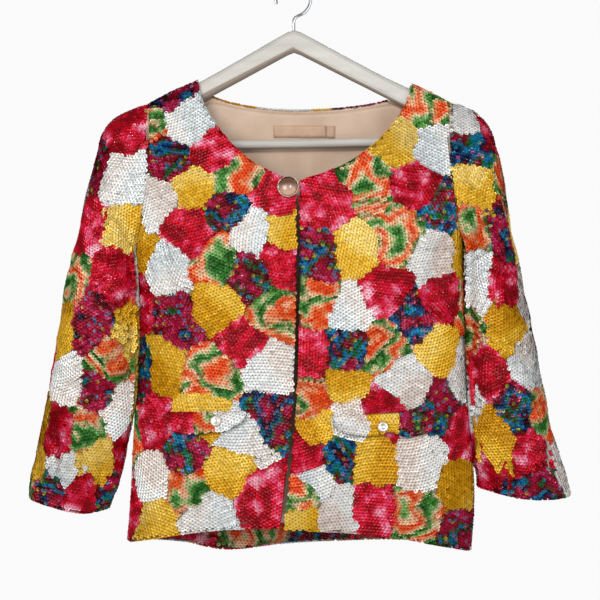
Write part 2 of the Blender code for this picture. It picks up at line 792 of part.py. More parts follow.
def make_arms(materials):
    """Both arms in one piece of wood, with sockets for the bar and the hook."""
    side_columns = []
    for low, high in zip(ARM, ARM[1:]):
        side_columns.append(low[0])
        if high[0] - low[0] > ARM_LONGEST_STEP:
            side_columns.append((low[0] + high[0]) / 2.0)
    side_columns.append(ARM[-1][0])
    places = [-x for x in side_columns[:0:-1]] + side_columns
    vertices = []
    for x in places:
        top = smooth_table(ARM, abs(x), 1)
        low = smooth_table(ARM, abs(x), 2)
        end = smoothstep((abs(x) - ARM[-3][0]) / (ARM[-1][0] - ARM[-3][0]))
        slim = 1.0 - ARM_END_THINNING * end
        front_top = [(-y * slim, top - drop) for y, drop in ARM_SECTION[::-1]]
        back_top = [(-y, z) for y, z in front_top[-2::-1]]
        back_low = [(y * slim, low + drop) for y, drop in ARM_SECTION[::-1]]
        front_low = [(-y, z) for y, z in back_low[-2::-1]]
        ring = front_top + back_top + back_low + front_low
        vertices += [tilt((x, y, z)) for y, z in ring]
    corners = len(ring)
    faces = []
    for i in range(len(places) - 1):
        for k in range(corners):
            a = i * corners + k
            b = i * corners + (k + 1) % corners
            faces.append((a, b, b + corners, a + corners))
    faces.append(tuple(range(corners)))
    faces.append(tuple(range((len(places) - 1) * corners, len(places) * corners)))
    arms = add_object("hanger_arms", vertices, faces, materials["painted_wood"])
    hook_middle = HOOK_STEM_BOTTOM - FIT_GAP + SOCKET_LENGTH / 2.0
    bar_length = 2.0 * (BAR_HALF_LENGTH + FIT_GAP)
    # Each socket: its name, the radius and length of what sits in it, its middle's height, its turn
    sockets = (
        ("bar_socket", BAR_RADIUS, bar_length, BAR_Z, math.pi / 2.0),
        ("hook_socket", HOOK_WIRE_RADIUS, SOCKET_LENGTH, hook_middle, 0.0),
    )
    for name, radius, length, z, angle in sockets:
        wide = (radius + FIT_GAP) * MM
        bpy.ops.mesh.primitive_cylinder_add(vertices=ROUND_SIDES, radius=wide, depth=length * MM)
        cutter = bpy.context.object
        cutter.name = name
        lean = Matrix.Rotation(-math.radians(HANGER_TILT), 4, "Y")
        place = Matrix.Translation(Vector((0.0, 0.0, z)) * MM)
        cutter.matrix_world = lean @ place @ Matrix.Rotation(angle, 4, "Y")
        cutter.hide_render = True
        cutter.display_type = "WIRE"
        cut = arms.modifiers.new(name, "BOOLEAN")
        cut.object = cutter


def make_bar(materials):
    vertices = []
    for x in (-BAR_HALF_LENGTH, BAR_HALF_LENGTH):
        for i in range(ROUND_SIDES):
            angle = 2.0 * math.pi * i / ROUND_SIDES
            ring = (x, BAR_RADIUS * math.cos(angle), BAR_Z + BAR_RADIUS * math.sin(angle))
            vertices.append(tilt(ring))
    faces = [tuple(range(ROUND_SIDES)), tuple(range(ROUND_SIDES, 2 * ROUND_SIDES))]
    for i in range(ROUND_SIDES):
        j = (i + 1) % ROUND_SIDES
        faces.append((i, j, ROUND_SIDES + j, ROUND_SIDES + i))
    add_object("trouser_bar", vertices, faces, materials["painted_wood"])


def make_hook(materials):
    """Steel wire: a stem out of the wood, a short bend, and a round hook over the rail."""
    radius = HOOK_INSIDE_RADIUS + HOOK_WIRE_RADIUS
    route = [(0.0, HOOK_STEM_BOTTOM), (0.0, HOOK_STEM_TOP), *HOOK_BEND]
    for degrees in range(HOOK_START_DEG, HOOK_END_DEG + 1, HOOK_STEP_DEG):
        angle = math.radians(degrees)
        route.append((radius * math.cos(angle), -HOOK_INSIDE_RADIUS + radius * math.sin(angle)))
    curve = bpy.data.curves.new("hook", "CURVE")
    curve.dimensions = "3D"
    curve.bevel_depth = HOOK_WIRE_RADIUS * MM
    curve.bevel_resolution = 2
    curve.use_fill_caps = True
    spline = curve.splines.new("POLY")
    spline.points.add(len(route) - 1)
    for point, (x, z) in zip(spline.points, route):
        point.co = (*(tilt((x, 0.0, z)) * MM), 1.0)
    curve.materials.append(materials["steel"])
    bpy.context.collection.objects.link(bpy.data.objects.new("hook", curve))


def make_materials():
    made = {}
    for name, colour in COLOURS.items():
        material = bpy.data.materials.new(name)
        material.use_nodes = True
        shader = material.node_tree.nodes["Principled BSDF"]
        shader.inputs["Base Color"].default_value = (*colour, 1.0)
        shader.inputs["Roughness"].default_value = ROUGHNESS.get(name, 0.55)
        shader.inputs["Metallic"].default_value = 1.0 if name in METALS else 0.0
        made[name] = material
    return made


def main():
    for old in list(bpy.data.objects):
        bpy.data.objects.remove(old, do_unlink=True)
    materials = make_materials()
    make_arms(materials)
    make_bar(materials)
    make_hook(materials)
    make_fronts(materials)
    make_back(materials)
    make_lining(materials)
    for name in LABELS:
        make_label(name, materials)
    for side in SIDES:
        make_sleeve(side, materials)
        make_flap(side, materials)
        make_flap_button(side, materials)
    make_neck_button(materials)


main()
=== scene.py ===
# %% [markdown]
# # A sequined evening jacket on its hanger
# A cropped jacket with no collar, covered in small cup sequins laid in patches of colour. The packed
# model gives the size and place of every piece. This script dresses each of them: cloth with its
# creases, about forty thousand sequins, a satin lining, buttons, and the wooden hanger.

# %% The frame
import json
import math
import random

import bpy
import numpy as np
from mathutils import Matrix, Vector, noise
from mathutils.bvhtree import BVHTree
from mathutils.kdtree import KDTree


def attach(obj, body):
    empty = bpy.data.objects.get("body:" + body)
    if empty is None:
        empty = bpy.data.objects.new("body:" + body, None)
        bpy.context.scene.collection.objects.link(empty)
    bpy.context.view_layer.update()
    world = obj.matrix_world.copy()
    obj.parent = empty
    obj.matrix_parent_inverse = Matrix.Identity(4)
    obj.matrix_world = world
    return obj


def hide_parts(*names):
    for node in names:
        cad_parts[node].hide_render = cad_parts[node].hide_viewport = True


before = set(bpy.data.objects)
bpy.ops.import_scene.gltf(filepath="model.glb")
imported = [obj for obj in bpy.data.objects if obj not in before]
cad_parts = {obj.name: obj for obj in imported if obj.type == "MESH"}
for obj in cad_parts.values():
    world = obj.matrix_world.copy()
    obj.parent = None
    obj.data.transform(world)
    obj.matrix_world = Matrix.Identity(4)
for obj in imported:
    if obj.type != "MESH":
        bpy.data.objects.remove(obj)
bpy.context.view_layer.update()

MM = 0.001
print(len(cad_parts), "pieces came from the packed model")

# %% [markdown]
# ## The camera
# The photograph was taken level with the jacket's chest and straight on, from about 1.6 m. The
# width that the picture takes in fixes the lens, once the sensor and the distance are chosen.

# %% Camera
VIEW_AT = (0.0088, -1.6, -0.3992)
VIEW_WIDTH = 0.756
camera_data = bpy.data.cameras.new("camera")
camera_data.sensor_width = 36.0
camera_data.lens = camera_data.sensor_width * -VIEW_AT[1] / VIEW_WIDTH
camera = bpy.data.objects.new("camera", camera_data)
camera.location = VIEW_AT
camera.rotation_euler = (math.radians(90.0), 0.0, 0.0)
bpy.context.collection.objects.link(camera)
bpy.context.scene.camera = camera
print("lens", round(camera_data.lens, 1), "mm")

# %% [markdown]
# ## Light and backdrop
# A product picture on white needs large soft lights, so that shadows stay pale. Sequins need one
# smaller light as well: each tiny dish mirrors it at a single point, and that is what glitters. The
# world gives a dim even light, but where the camera looks past the jacket it sees white paper.

# %% Lights
LIGHTS = (
    # name, size in metres, watts, place, colour
    ("key", 0.9, 19.5, (-0.85, -1.55, -0.05), (1.0, 0.98, 0.95)),
    ("fill", 1.1, 7.0, (1.15, -1.25, -0.3), (0.97, 0.98, 1.0)),
    ("glitter", 0.10, 12.0, (0.35, -1.7, 0.15), (1.0, 1.0, 1.0)),
    ("back", 1.2, 22.0, (0.3, 1.7, 0.3), (1.0, 1.0, 1.0)),
)
AIM = Vector((0.0, 0.0, -0.42))
for name, size, watts, place, colour in LIGHTS:
    light = bpy.data.lights.new(name, "AREA")
    light.size = size
    light.energy = watts
    light.color = colour
    lamp = bpy.data.objects.new(name, light)
    lamp.location = place
    lamp.rotation_euler = (AIM - Vector(place)).to_track_quat("-Z", "Y").to_euler()
    bpy.context.collection.objects.link(lamp)
world = bpy.data.worlds.new("studio")
world.use_nodes = True
nodes, links = world.node_tree.nodes, world.node_tree.links
nodes["Background"].inputs["Color"].default_value = (0.95, 0.97, 1.0, 1.0)
nodes["Background"].inputs["Strength"].default_value = 0.3
paper = nodes.new("ShaderNodeBackground")
paper.inputs["Color"].default_value = (0.96, 0.96, 0.96, 1.0)
choose = nodes.new("ShaderNodeMixShader")
links.new(nodes.new("ShaderNodeLightPath").outputs["Is Camera Ray"], choose.inputs["Fac"])
links.new(nodes["Background"].outputs["Background"], choose.inputs[1])
links.new(paper.outputs["Background"], choose.inputs[2])
links.new(choose.outputs["Shader"], nodes["World Output"].inputs["Surface"])
bpy.context.scene.world = world
bpy.context.scene.view_settings.view_transform = "Standard"
print(len(LIGHTS), "lights")


# %% [markdown]
# Two small helpers are used all the way down. The first leaves one object selected and active,
# because the edit-mode tools act on whatever is active. The second prints what was just made.

# %% Helpers
def only(piece):
    bpy.ops.object.select_all(action="DESELECT")
    piece.select_set(True)
    bpy.context.view_layer.objects.active = piece


def tell(piece):
    print(f"{piece.name}: {len(piece.data.vertices)} points, {len(piece.data.polygons)} faces")


# %% [markdown]
# The floor is one plain pale plane, as far below the hook as a floor is below a clothes rail. It is
# lowered in edit mode, so the object itself stays at the origin. There is no wall, so the jacket can
# be looked at from behind as well.

# %% Floor
FLOOR_Z = -1.6
bpy.ops.object.select_all(action="DESELECT")
bpy.ops.mesh.primitive_plane_add(size=4.0)
floor = bpy.context.object
floor.name = "floor"
bpy.ops.object.mode_set(mode="EDIT")
bpy.ops.mesh.select_all(action="SELECT")
bpy.ops.transform.translate(value=(0.0, 0.0, FLOOR_Z))
bpy.ops.object.mode_set(mode="OBJECT")
floor_paint = bpy.data.materials.new("floor_paint")
floor_paint.use_nodes = True
floor_paint.node_tree.nodes["Principled BSDF"].inputs["Base Color"].default_value = (0.8, 0.8, 0.79, 1.0)
floor.data.materials.append(floor_paint)
tell(floor)


# %% [markdown]
# ## Materials
# Every finish is made of nodes. This helper makes a material, sets the shader's plain values and
# hands back its nodes, links and shader, so that each cell below adds only what is special to it.

# %% Material helper
def linear(code):
    """A colour written as in a paint program, in the straight light values that shaders use."""
    channels = [int(code[i:i + 2], 16) / 255.0 for i in (0, 2, 4)]
    return [c / 12.92 if c <= 0.04045 else ((c + 0.055) / 1.055) ** 2.4 for c in channels]


def new_material(name, colour, **values):
    material = bpy.data.materials.new(name)
    material.use_nodes = True
    nodes = material.node_tree.nodes
    shader = nodes["Principled BSDF"]
    shader.inputs["Base Color"].default_value = (*linear(colour), 1.0)
    for socket, value in values.items():
        shader.inputs[socket.replace("_", " ")].default_value = value
    return material, nodes, material.node_tree.links, shader


def object_noise(nodes, links, scale, detail=3.0, stretch=(1.0, 1.0, 1.0)):
    """Noise that stays fixed to the object, read from its own coordinates."""
    place = nodes.new("ShaderNodeTexCoord")
    mapping = nodes.new("ShaderNodeMapping")
    mapping.inputs["Scale"].default_value = stretch
    texture = nodes.new("ShaderNodeTexNoise")
    texture.inputs["Scale"].default_value = scale
    texture.inputs["Detail"].default_value = detail
    links.new(place.outputs["Object"], mapping.inputs["Vector"])
    links.new(mapping.outputs["Vector"], texture.inputs["Vector"])
    return texture


def tint(nodes, links, shader, texture, dark, light):
    """Colours a shader between two shades by a texture."""
    ramp = nodes.new("ShaderNodeValToRGB")
    ramp.color_ramp.elements[0].position = 0.3
    ramp.color_ramp.elements[0].color = (*linear(dark), 1.0)
    ramp.color_ramp.elements[1].position = 0.7
    ramp.color_ramp.elements[1].color = (*linear(light), 1.0)
    links.new(texture.outputs["Fac"], ramp.inputs["Fac"])
    links.new(ramp.outputs["Color"], shader.inputs["Base Color"])


def relief(nodes, links, shader, texture, strength, distance):
    bump = nodes.new("ShaderNodeBump")
    bump.inputs["Strength"].default_value = strength
    bump.inputs["Distance"].default_value = distance
    links.new(texture.outputs["Fac"], bump.inputs["Height"])
    links.new(bump.outputs["Normal"], shader.inputs["Normal"])


# %% [markdown]
# A sequin is punched from thin glossy film. Its colour comes from an attribute on the mesh, so one
# material serves all forty thousand. A clear coat gives the second, sharper highlight of the film.

# %% Sequins and the cloth under them
sequin_film, nodes, links, shader = new_material(
    "sequin_film", "FFFFFF", Roughness=0.34, Metallic=0.2, Specular_IOR_Level=0.09,
    Coat_Weight=0.08, Coat_Roughness=0.08,
)
paint = nodes.new("ShaderNodeAttribute")
paint.attribute_name = "paint"
links.new(paint.outputs["Color"], shader.inputs["Base Color"])

ground_cloth, nodes, links, shader = new_material(
    "ground_cloth", "FFFFFF", Roughness=0.9, Specular_IOR_Level=0.1
)
paint = nodes.new("ShaderNodeAttribute")
paint.attribute_name = "paint"
links.new(paint.outputs["Color"], shader.inputs["Base Color"])
relief(nodes, links, shader, object_noise(nodes, links, 900.0, 1.0), 0.3, 0.0003)
print("sequin_film and ground_cloth")

# %% [markdown]
# The lining is a beige satin. Satin is woven with long floats that run one way, so its fine relief
# is noise stretched along the cloth, and slow noise shifts the colour where the light pools.

# %% Satin and tape
satin, nodes, links, shader = new_material("lining_satin", "B9A190", Roughness=0.45)
tint(nodes, links, shader, object_noise(nodes, links, 16.0, 6.0), "AB8E77", "C6AF9B")
threads = object_noise(nodes, links, 500.0, 2.0, (1.0, 1.0, 0.12))
relief(nodes, links, shader, threads, 0.25, 0.0002)

tape, nodes, links, shader = new_material("label_tape", "B4967E", Roughness=0.6)
tint(nodes, links, shader, object_noise(nodes, links, 60.0), "A5866E", "B9997F")
relief(nodes, links, shader, object_noise(nodes, links, 1400.0, 1.0, (1.0, 1.0, 0.4)), 0.4, 0.0002)

print("lining_satin and label_tape")

# %% [markdown]
# The hanger is brushed with white gloss over wood: faint strokes along the arm. A band along the lower
# edge of each arm is painted taupe, a painted shade of its underside. Steel, gilt, glass and pearl are
# all smooth, and differ in how sharply they reflect and in their slow changes of tint. The glass stone
# is also painted lighter at the bottom and darker at the top: painted light and shade of the dome.

# %% Hard materials
white_paint, nodes, links, shader = new_material("painted_wood", "B8B4AD", Roughness=0.4)
strokes = object_noise(nodes, links, 60.0, 4.0, (0.15, 1.0, 1.0))
tint(nodes, links, shader, strokes, "ABA8A1", "BEBBB4")
relief(nodes, links, shader, strokes, 0.2, 0.0004)

# A band along the lower edge of each arm is painted taupe: a painted shade of the arm's underside.
ARM_SLOPE = 0.515
ARM_LOW = 0.088
PAINTED_SHADE_FROM, PAINTED_SHADE_TO = 5.0 * MM, 7.0 * MM
paint_with_painted_shade, nodes, links, shader = new_material("painted_wood_with_painted_shade", "B8B4AD", Roughness=0.45)
strokes = object_noise(nodes, links, 60.0, 4.0, (0.15, 1.0, 1.0))
tint(nodes, links, shader, strokes, "ABA8A1", "BEBBB4")
relief(nodes, links, shader, strokes, 0.2, 0.0004)
painted = shader.inputs["Base Color"].links[0].from_socket
place = nodes.new("ShaderNodeTexCoord")
split = nodes.new("ShaderNodeSeparateXYZ")
links.new(place.outputs["Object"], split.inputs["Vector"])
aside = nodes.new("ShaderNodeMath")
aside.operation = "ABSOLUTE"
links.new(split.outputs["X"], aside.inputs[0])
height = nodes.new("ShaderNodeMath")
height.operation = "MULTIPLY_ADD"
height.inputs[1].default_value = ARM_SLOPE
links.new(aside.outputs[0], height.inputs[0])
links.new(split.outputs["Z"], height.inputs[2])
# Painted shade: the colour turns taupe over the lowest 5 to 7 mm of each arm's front.
painted_shade_band = nodes.new("ShaderNodeMapRange")
painted_shade_band.inputs["From Min"].default_value = PAINTED_SHADE_TO - ARM_LOW
painted_shade_band.inputs["From Max"].default_value = PAINTED_SHADE_FROM - ARM_LOW
links.new(height.outputs[0], painted_shade_band.inputs["Value"])
blend = nodes.new("ShaderNodeMix")
blend.data_type = "RGBA"
blend.inputs[7].default_value = (*linear("85776B"), 1.0)
links.new(painted_shade_band.outputs["Result"], blend.inputs["Factor"])
links.new(painted, blend.inputs[6])
links.new(blend.outputs[2], shader.inputs["Base Color"])

steel, nodes, links, shader = new_material("steel", "C4C6C9", Roughness=0.22, Metallic=1.0)
tint(nodes, links, shader, object_noise(nodes, links, 140.0), "B4B6BA", "D0D2D4")

gilt, nodes, links, shader = new_material("gilt_metal", "E6DAC2", Roughness=0.28, Metallic=1.0)
tint(nodes, links, shader, object_noise(nodes, links, 220.0), "DACBAE", "F0E8D8")

glass, nodes, links, shader = new_material(
    "glass_stone", "9A7C68", Roughness=0.3, Coat_Weight=0.7, Coat_Roughness=0.12
)
tint(nodes, links, shader, object_noise(nodes, links, 90.0), "BC9480", "5E3C2A")
ramp = shader.inputs["Base Color"].links[0].from_node
clouds = ramp.inputs["Fac"].links[0].from_socket
# The stone is painted lighter at the bottom and darker at the top by its height: painted light and shade of the
# lit dome.
stone_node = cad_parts["neck_button_stone"]
heights = [(stone_node.matrix_world @ Vector(corner)).z for corner in stone_node.bound_box]
place = nodes.new("ShaderNodeTexCoord")
split = nodes.new("ShaderNodeSeparateXYZ")
links.new(place.outputs["Object"], split.inputs["Vector"])
stone_painted_shade = nodes.new("ShaderNodeMapRange")
stone_painted_shade.inputs["From Min"].default_value = min(heights)
stone_painted_shade.inputs["From Max"].default_value = max(heights)
stone_painted_shade.inputs["To Max"].default_value = 0.75
links.new(split.outputs["Z"], stone_painted_shade.inputs["Value"])
shade = nodes.new("ShaderNodeMath")
shade.operation = "MULTIPLY_ADD"
shade.inputs[1].default_value = 0.3
links.new(clouds, shade.inputs[0])
links.new(stone_painted_shade.outputs["Result"], shade.inputs[2])
links.new(shade.outputs[0], ramp.inputs["Fac"])

pearl, nodes, links, shader = new_material(
    "pearl", "C9C1B8", Roughness=0.2, Metallic=0.3, Coat_Weight=0.6, Coat_Roughness=0.1
)
tint(nodes, links, shader, object_noise(nodes, links, 160.0), "9C8F82", "D4CFC8")
print("six hard materials")

# %% [markdown]
# ## The cloth
# Each panel of the garment is a closed wall, 2 mm thick. A copy of it is welded, its triangles are
# paired back into four-sided faces, and two rounds of subdivision smooth it. Without help that
# would melt the thin rims, so every sharp edge is first given a full crease, which holds it.

# %% Copy and smooth a panel
RIM_ANGLE = math.radians(55.0)


def smooth_copy(node_name, name, levels, slot, *materials):
    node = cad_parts[node_name]
    piece = bpy.data.objects.new(name, node.data.copy())
    piece.data.transform(node.matrix_world)
    piece.data.materials.clear()
    for material in materials:
        piece.data.materials.append(material)
    bpy.context.collection.objects.link(piece)
    only(piece)
    bpy.ops.mesh.customdata_custom_splitnormals_clear()
    bpy.ops.object.mode_set(mode="EDIT")
    bpy.ops.mesh.select_all(action="SELECT")
    bpy.ops.mesh.remove_doubles(threshold=0.00002)
    bpy.ops.mesh.tris_convert_to_quads(face_threshold=math.radians(40.0), shape_threshold=RIM_ANGLE)
    bpy.ops.mesh.normals_make_consistent(inside=False)
    bpy.ops.mesh.select_all(action="DESELECT")
    bpy.ops.mesh.select_mode(type="EDGE")
    bpy.ops.mesh.edges_select_sharp(sharpness=RIM_ANGLE)
    bpy.ops.transform.edge_crease(value=1.0)
    bpy.ops.object.mode_set(mode="OBJECT")
    if len(materials) > 1:
        sort_sheets(piece, node_name)
    if levels:
        rounder = piece.modifiers.new("rounder", "SUBSURF")
        rounder.levels = levels
        rounder.render_levels = levels
        bpy.ops.object.modifier_apply(modifier="rounder")
    piece.data.polygons.foreach_set("use_smooth", [True] * len(piece.data.polygons))
    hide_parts(node_name)
    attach(piece, "root")
    tell(piece)
    return piece


# %% [markdown]
# The outside of a panel gets sequins and the inside satin, so the two sheets must be told apart. A
# line runs down the middle of each sleeve, and a flat plate through the middle of the body. A face
# that looks away from its line or plate is outside, and one that looks towards it is inside. The
# narrow faces that look neither way are the cut edge.

# %% Sort the faces into outside, inside and rim
OUTSIDE, INSIDE, RIM = 0, 1, 2
WALL = 2.0 * MM
SLEEVE_LINE = {
    # height, x of the line (mm), from the shoulder to the cuff
    "sleeve_right": ((-205, -200), (-250, -212), (-370, -232), (-480, -248), (-590, -265), (-655, -281)),
    "sleeve_left": ((-205, 215), (-250, 228), (-370, 243), (-480, 260), (-590, 280), (-640, 291)),
}


def outward(name, place):
    """Which way is out, at a place on a panel."""
    if name.startswith("pocket"):
        return Vector((0.0, -1.0, 0.0))
    if name in SLEEVE_LINE:
        heights, middles = zip(*SLEEVE_LINE[name][::-1])
        z = min(place.z, -0.205)
        middle = Vector((np.interp(z / MM, heights, middles) * MM, 0.0, z))
    else:
        under_arm = -0.074 - 0.5 * abs(place.x)
        middle = Vector((min(max(place.x, -0.165), 0.18), 0.0, min(place.z, under_arm)))
    return (place - middle).normalized()


def sort_sheets(piece, name):
    mesh = piece.data
    for face in mesh.polygons:
        facing = face.normal.dot(outward(name, face.center))
        shortest = min((mesh.vertices[a].co - mesh.vertices[b].co).length for a, b in face.edge_keys)
        if -0.9 < facing < 0.5 and shortest < 1.2 * WALL:
            face.material_index = RIM
        else:
            face.material_index = OUTSIDE if facing > 0.0 else INSIDE


# %% [markdown]
# Now the copies. Fronts, back, sleeves and pocket flaps are all the same sequined cloth.

# %% The panels
PANELS = ("front_right", "front_left", "back", "sleeve_right", "sleeve_left")
FLAPS = ("pocket_flap_right", "pocket_flap_left")
cloth = {}
for name in PANELS + FLAPS:
    cloth[name] = smooth_copy(
        name, f"{name}_cloth", 2, "sequined_cloth", ground_cloth, satin, ground_cloth
    )

# %% [markdown]
# ## Creases
# Cloth that hangs from two points keeps soft troughs: diagonal ones from the underarm, short ones
# at the elbow, small gathers over the cuff. Each is a line on the front or the back, with its own
# half-width and depth. A point near the line sinks by the depth, less and less with distance.

# %% Table of creases
CREASES = (
    # piece, face, x and z of one end, x and z of the other, half-width, depth (mm; less than 0 is a ridge)
    ("sleeve_right", "front", -200, -240, -262, -330, 9, 4.6),
    ("sleeve_right", "front", -198, -292, -250, -300, 7, 3.4),
    ("sleeve_right", "front", -204, -330, -262, -376, 8, 4.6),
    ("sleeve_right", "front", -270, -352, -284, -400, 6, 3.0),
    ("sleeve_right", "front", -206, -392, -246, -402, 6, 2.8),
    ("sleeve_right", "front", -212, -415, -290, -455, 9, 5.4),
    ("sleeve_right", "front", -208, -470, -262, -432, 8, 4.6),
    ("sleeve_right", "front", -222, -520, -305, -496, 9, 5.4),
    ("sleeve_right", "front", -232, -560, -280, -545, 7, 4.0),
    ("sleeve_right", "front", -240, -598, -238, -652, 5, 3.6),
    ("sleeve_right", "front", -262, -585, -256, -656, 6, 5.2),
    ("sleeve_right", "front", -292, -560, -298, -648, 6, 4.4),
    ("sleeve_right", "front", -314, -600, -318, -650, 5, 3.0),
    ("sleeve_right", "back", -205, -300, -275, -380, 11, 4.0),
    ("sleeve_right", "back", -210, -440, -285, -420, 9, 3.8),
    ("sleeve_right", "back", -225, -540, -300, -510, 9, 3.6),
    ("sleeve_left", "front", 218, -240, 264, -335, 9, 4.6),
    ("sleeve_left", "front", 216, -300, 262, -290, 7, 3.4),
    ("sleeve_left", "front", 226, -345, 286, -395, 9, 5.0),
    ("sleeve_left", "front", 232, -402, 270, -392, 6, 3.0),
    ("sleeve_left", "front", 228, -440, 302, -470, 9, 5.4),
    ("sleeve_left", "front", 236, -500, 308, -468, 8, 4.6),
    ("sleeve_left", "front", 244, -560, 325, -528, 9, 5.2),
    ("sleeve_left", "front", 262, -585, 268, -640, 6, 4.6),
    ("sleeve_left", "front", 290, -570, 300, -636, 7, 4.6),
    ("sleeve_left", "front", 318, -560, 322, -625, 5, 3.4),
    ("sleeve_left", "back", 226, -300, 285, -370, 11, 4.0),
    ("sleeve_left", "back", 232, -450, 300, -430, 9, 3.8),
    ("sleeve_left", "back", 250, -560, 320, -520, 9, 3.6),
    ("front_right", "front", -172, -300, -140, -420, 10, 2.4),
    ("front_right", "front", -60, -560, -52, -672, 11, 2.4),
    ("front_right", "front", -120, -585, -128, -690, 9, 2.0),
    ("front_left", "front", 190, -310, 160, -430, 10, 2.4),
    ("front_left", "front", 92, -575, 84, -678, 11, 2.4),
    ("front_left", "front", 160, -580, 168, -692, 9, 2.0),
    ("back", "back", -150, -210, -90, -330, 14, 2.6),
    ("back", "back", 170, -210, 110, -340, 14, 2.6),
    ("back", "back", -110, -520, -120, -700, 13, 3.0),
    ("back", "back", 60, -560, 64, -700, 12, 2.6),
)


RIPPLE_SCALE = 30.0
CRUMPLE_SCALE = 75.0
CRUMPLE_SHARE = 0.4
SEAM_FADE = 12.0 * MM
# Where a sleeve leans on the body: its least height there, and the room left for the sequins
LEAN_LOW = {"sleeve_right": -0.545, "sleeve_left": -0.618}
LEAN_ROOM = 2.3 * MM


def lean(name, co, normal, gap):
    """How far the inner side of a sleeve swells until it rests against the body."""
    if name not in LEAN_LOW or gap is None or gap < LEAN_ROOM:
        return 0.0
    inward = normal.x if name == "sleeve_right" else -normal.x
    reach = min(max((co.z - LEAN_LOW[name]) / 0.02, 0.0), 1.0) * min(max((-0.3 - co.z) / 0.05, 0.0), 1.0)
    return min(gap - LEAN_ROOM, 5.0 * MM) * reach * min(max(inward - 0.2, 0.0) / 0.4, 1.0)


def face_tree(mesh, faces):
    return BVHTree.FromPolygons([v.co for v in mesh.vertices], [f.vertices[:] for f in faces])


def press_creases(name, piece, rows, ripple, neighbours):
    """Moves the outside by the table; every other point goes with the nearest outside point."""
    mesh = piece.data
    outside = sorted({i for f in mesh.polygons if f.material_index == OUTSIDE for i in f.vertices})
    normals = {i: Vector() for i in outside}
    for face in mesh.polygons:
        if face.material_index == OUTSIDE:
            for i in face.vertices:
                normals[i] += face.normal
    moves = {}
    places_outside = KDTree(len(outside))
    for i in outside:
        co = mesh.vertices[i].co
        normal = normals[i].normalized()
        sink = 0.0
        for _, side, x0, z0, x1, z1, width, depth in rows:
            toward = -normal.y if side == "front" else normal.y
            if toward < 0.05:
                continue
            start = Vector((x0, z0)) * MM
            along = Vector((x1, z1)) * MM - start
            point = Vector((co.x, co.z)) - start
            share = min(max(point.dot(along) / along.length_squared, 0.0), 1.0)
            away = (point - along * share).length / (width * MM)
            if away > 3.0:
                continue
            fade = math.sqrt(math.sin(math.pi * min(max(share, 0.02), 0.98)))
            sink += depth * MM * math.exp(-away * away) * fade * min(toward / 0.4, 1.0)
        gaps = [tree.find_nearest(co, SEAM_FADE)[3] for tree in neighbours]
        gap = min((gap for gap in gaps if gap is not None), default=None)
        fade = 1.0 if gap is None else gap / SEAM_FADE
        wave = noise.noise(co * RIPPLE_SCALE) + noise.noise(co * CRUMPLE_SCALE) * CRUMPLE_SHARE
        moves[i] = normal * ((wave * ripple - sink) * fade + lean(name, co, normal, gap))
        places_outside.insert(co, i)
    places_outside.balance()
    places = [v.co.copy() for v in mesh.vertices]
    for vertex in mesh.vertices:
        near = vertex.index if vertex.index in moves else places_outside.find(places[vertex.index])[1]
        vertex.co = places[vertex.index] + moves[near]
    mesh.update()


uncreased = {name: face_tree(cloth[name].data, cloth[name].data.polygons) for name in PANELS}
for name in PANELS:
    rows = [row for row in CREASES if row[0] == name]
    neighbours = [tree for other, tree in uncreased.items() if other != name]
    ripple = (2.8 if name.startswith("sleeve") else 1.5) * MM
    press_creases(name, cloth[name], rows, ripple, neighbours)
    print(name, len(rows), "creases")

# %% [markdown]
# ## Buttons
# The big button is a glass cabochon held by a thin polished rim. Both parts are turned shapes, so
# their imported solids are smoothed, and edges that should stay crisp are creased.

# %% The neck button
setting = smooth_copy("neck_button_setting", "button_setting", 2, "gilt_metal", gilt)
stone = smooth_copy("neck_button_stone", "button_stone", 2, "glass_stone", glass)

# %% Pocket buttons
buttons = {
    side: smooth_copy(f"pocket_button_{side}", f"flap_button_{side}", 2, "pearl", pearl)
    for side in ("right", "left")
}

# %% [markdown]
# ## Patches of colour
# The sequins are laid in rounded patches about 55 mm across, each in one of five colourings. The
# patches are spread by chance and then evened out: every middle moves to the centre of the points
# nearest to it, a few times over. Noise bends the borders. The layout is this script's own.

# %% Spread the patches
PATCH_PITCH = 55.0 * MM
KINDS = ("yellow", "white", "pink", "orange", "dark")
SHARES = {"yellow": 0.25, "white": 0.16, "pink": 0.25, "orange": 0.18, "dark": 0.16}
FACING_PULL = 25.0 * MM


def measured(faces):
    centres = np.array([f.center for f in faces])
    normals = np.array([f.normal for f in faces])
    return centres, normals, np.array([f.area for f in faces])


def wavy(point):
    """A slow sideways push that bends the borders between patches."""
    return Vector(point) + noise.noise_vector(Vector(point) * 38.0) * 0.009


def spread_patches(faces, seed):
    centres, normals, areas = measured(faces)
    chance = np.random.default_rng(seed)
    picked = chance.choice(len(areas), 6000, p=areas / areas.sum())
    spots = centres[picked] + normals[picked] * FACING_PULL
    count = max(3, round(areas.sum() / (0.866 * PATCH_PITCH**2)))
    middles = spots[chance.choice(len(spots), count, replace=False)]
    for _ in range(7):
        nearest = ((spots[:, None] - middles[None]) ** 2).sum(axis=2).argmin(axis=1)
        for i in range(count):
            if (nearest == i).any():
                middles[i] = spots[nearest == i].mean(axis=0)
    return middles


def choose_kinds(middles, seed, allowed):
    """Gives each patch a colouring that its near neighbours lack, and keeps the shares."""
    chance = random.Random(seed)
    kinds = [None] * len(middles)
    used = {kind: 0 for kind in allowed}
    for i in chance.sample(range(len(middles)), len(middles)):
        far = np.linalg.norm(middles - middles[i], axis=1)
        cost = {}
        for kind in allowed:
            near = sum(math.exp(-((far[k] / 0.05) ** 2)) for k, other in enumerate(kinds) if other == kind)
            cost[kind] = near * 8.0 + used[kind] / (SHARES[kind] * len(middles)) + chance.random() * 0.4
        kinds[i] = min(allowed, key=cost.get)
        used[kinds[i]] += 1
    return kinds
